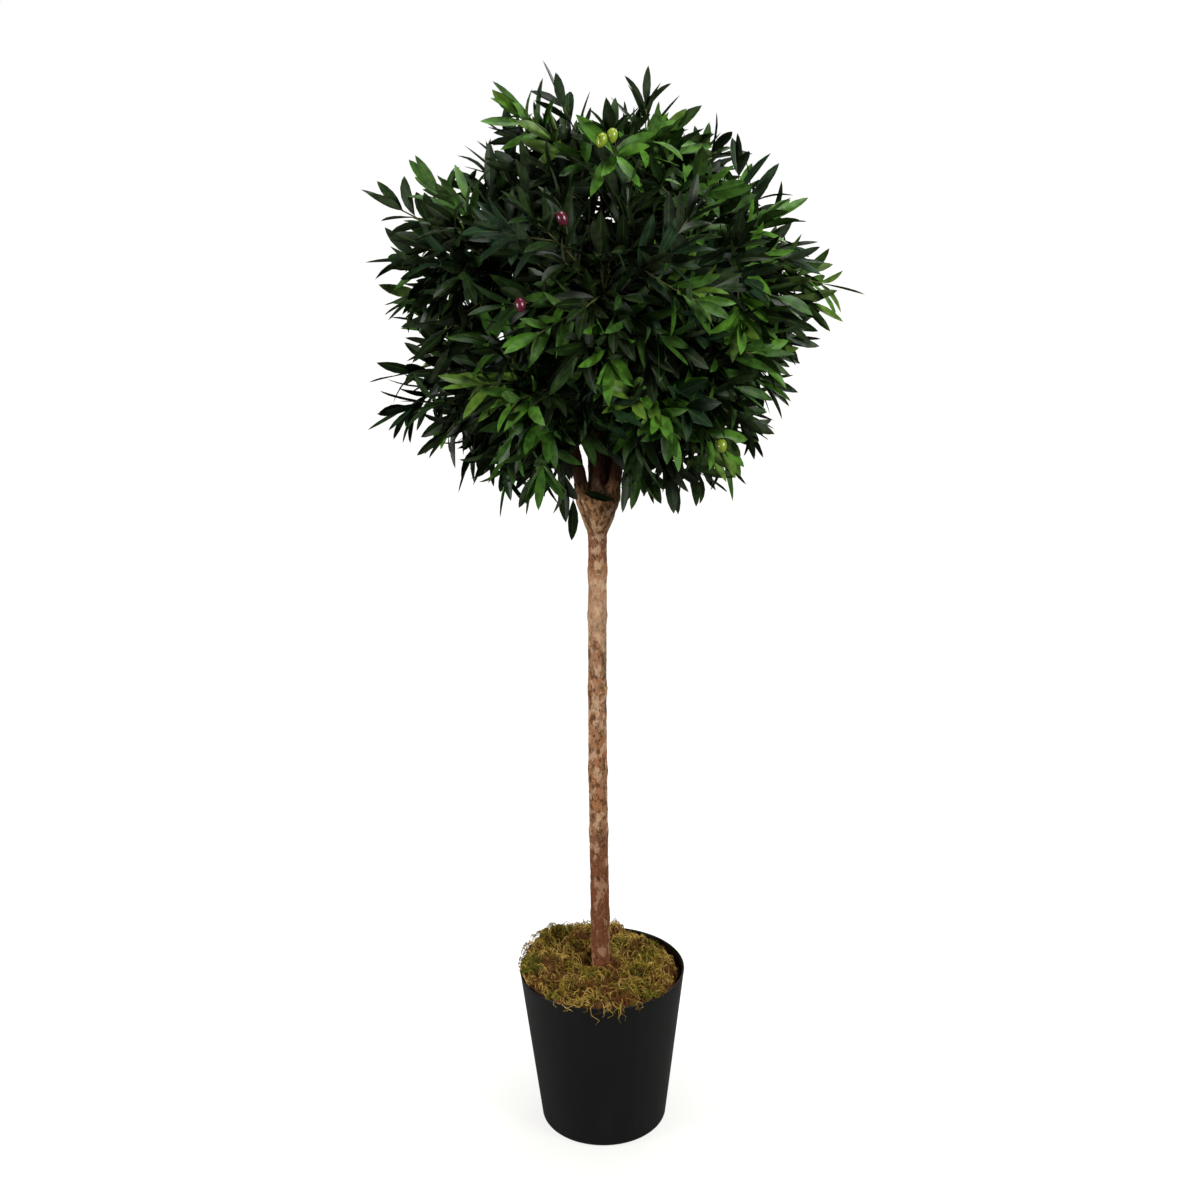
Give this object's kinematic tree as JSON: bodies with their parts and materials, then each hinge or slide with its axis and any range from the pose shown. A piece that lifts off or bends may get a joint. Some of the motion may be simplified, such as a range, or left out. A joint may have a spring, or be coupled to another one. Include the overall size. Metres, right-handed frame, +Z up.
{
  "type": "artificial olive tree in a pot",
  "caption": "Artificial olive tree: a dense leafy ball with a few olives on a bare wooden stem, in a tapered black plastic pot topped with dried moss",
  "frame": {"origin": "centre of the pot's flat underside, on the floor it stands on", "axes": "+Z up along the stem, front of the plant toward -Y, +X to the right seen from the front"},
  "size_m": [0.6565, 0.5768, 1.5344],
  "materials": {
    "black_plastic": "satin black, slightly worn",
    "filling": "rough cast cement",
    "dried_moss": "dry, fibrous, yellow-olive and brown",
    "bark": "natural reddish-brown bark with paler patches and knots",
    "leaf_green": "printed leaf fabric, dark to mid green with paler ribs",
    "olive_skin": "waxy, green or dark purple"
  },
  "bodies": {
    "root": {"pot": "black_plastic", "pot_fill": "filling", "moss": "dried_moss", "trunk": "bark", "bough_leader": "bark", "bough_back_right": "bark", "bough_back_left": "bark", "bough_left": "bark", "bough_right": "bark", "limb_front": "bark", "limb_low_right": "bark", "limb_low_back": "bark", "limb_low_left": "bark", "limb_low_front_left": "bark", "limb_low_front_right": "bark", "foliage_top": "leaf_green", "foliage_upper_back_right": "leaf_green", "foliage_upper_back_left": "leaf_green", "foliage_upper_left": "leaf_green", "foliage_upper_front": "leaf_green", "foliage_upper_right": "leaf_green", "foliage_lower_right": "leaf_green", "foliage_lower_back": "leaf_green", "foliage_lower_left": "leaf_green", "foliage_lower_front_left": "leaf_green", "foliage_lower_front_right": "leaf_green"}
  },
  "joints": []
}
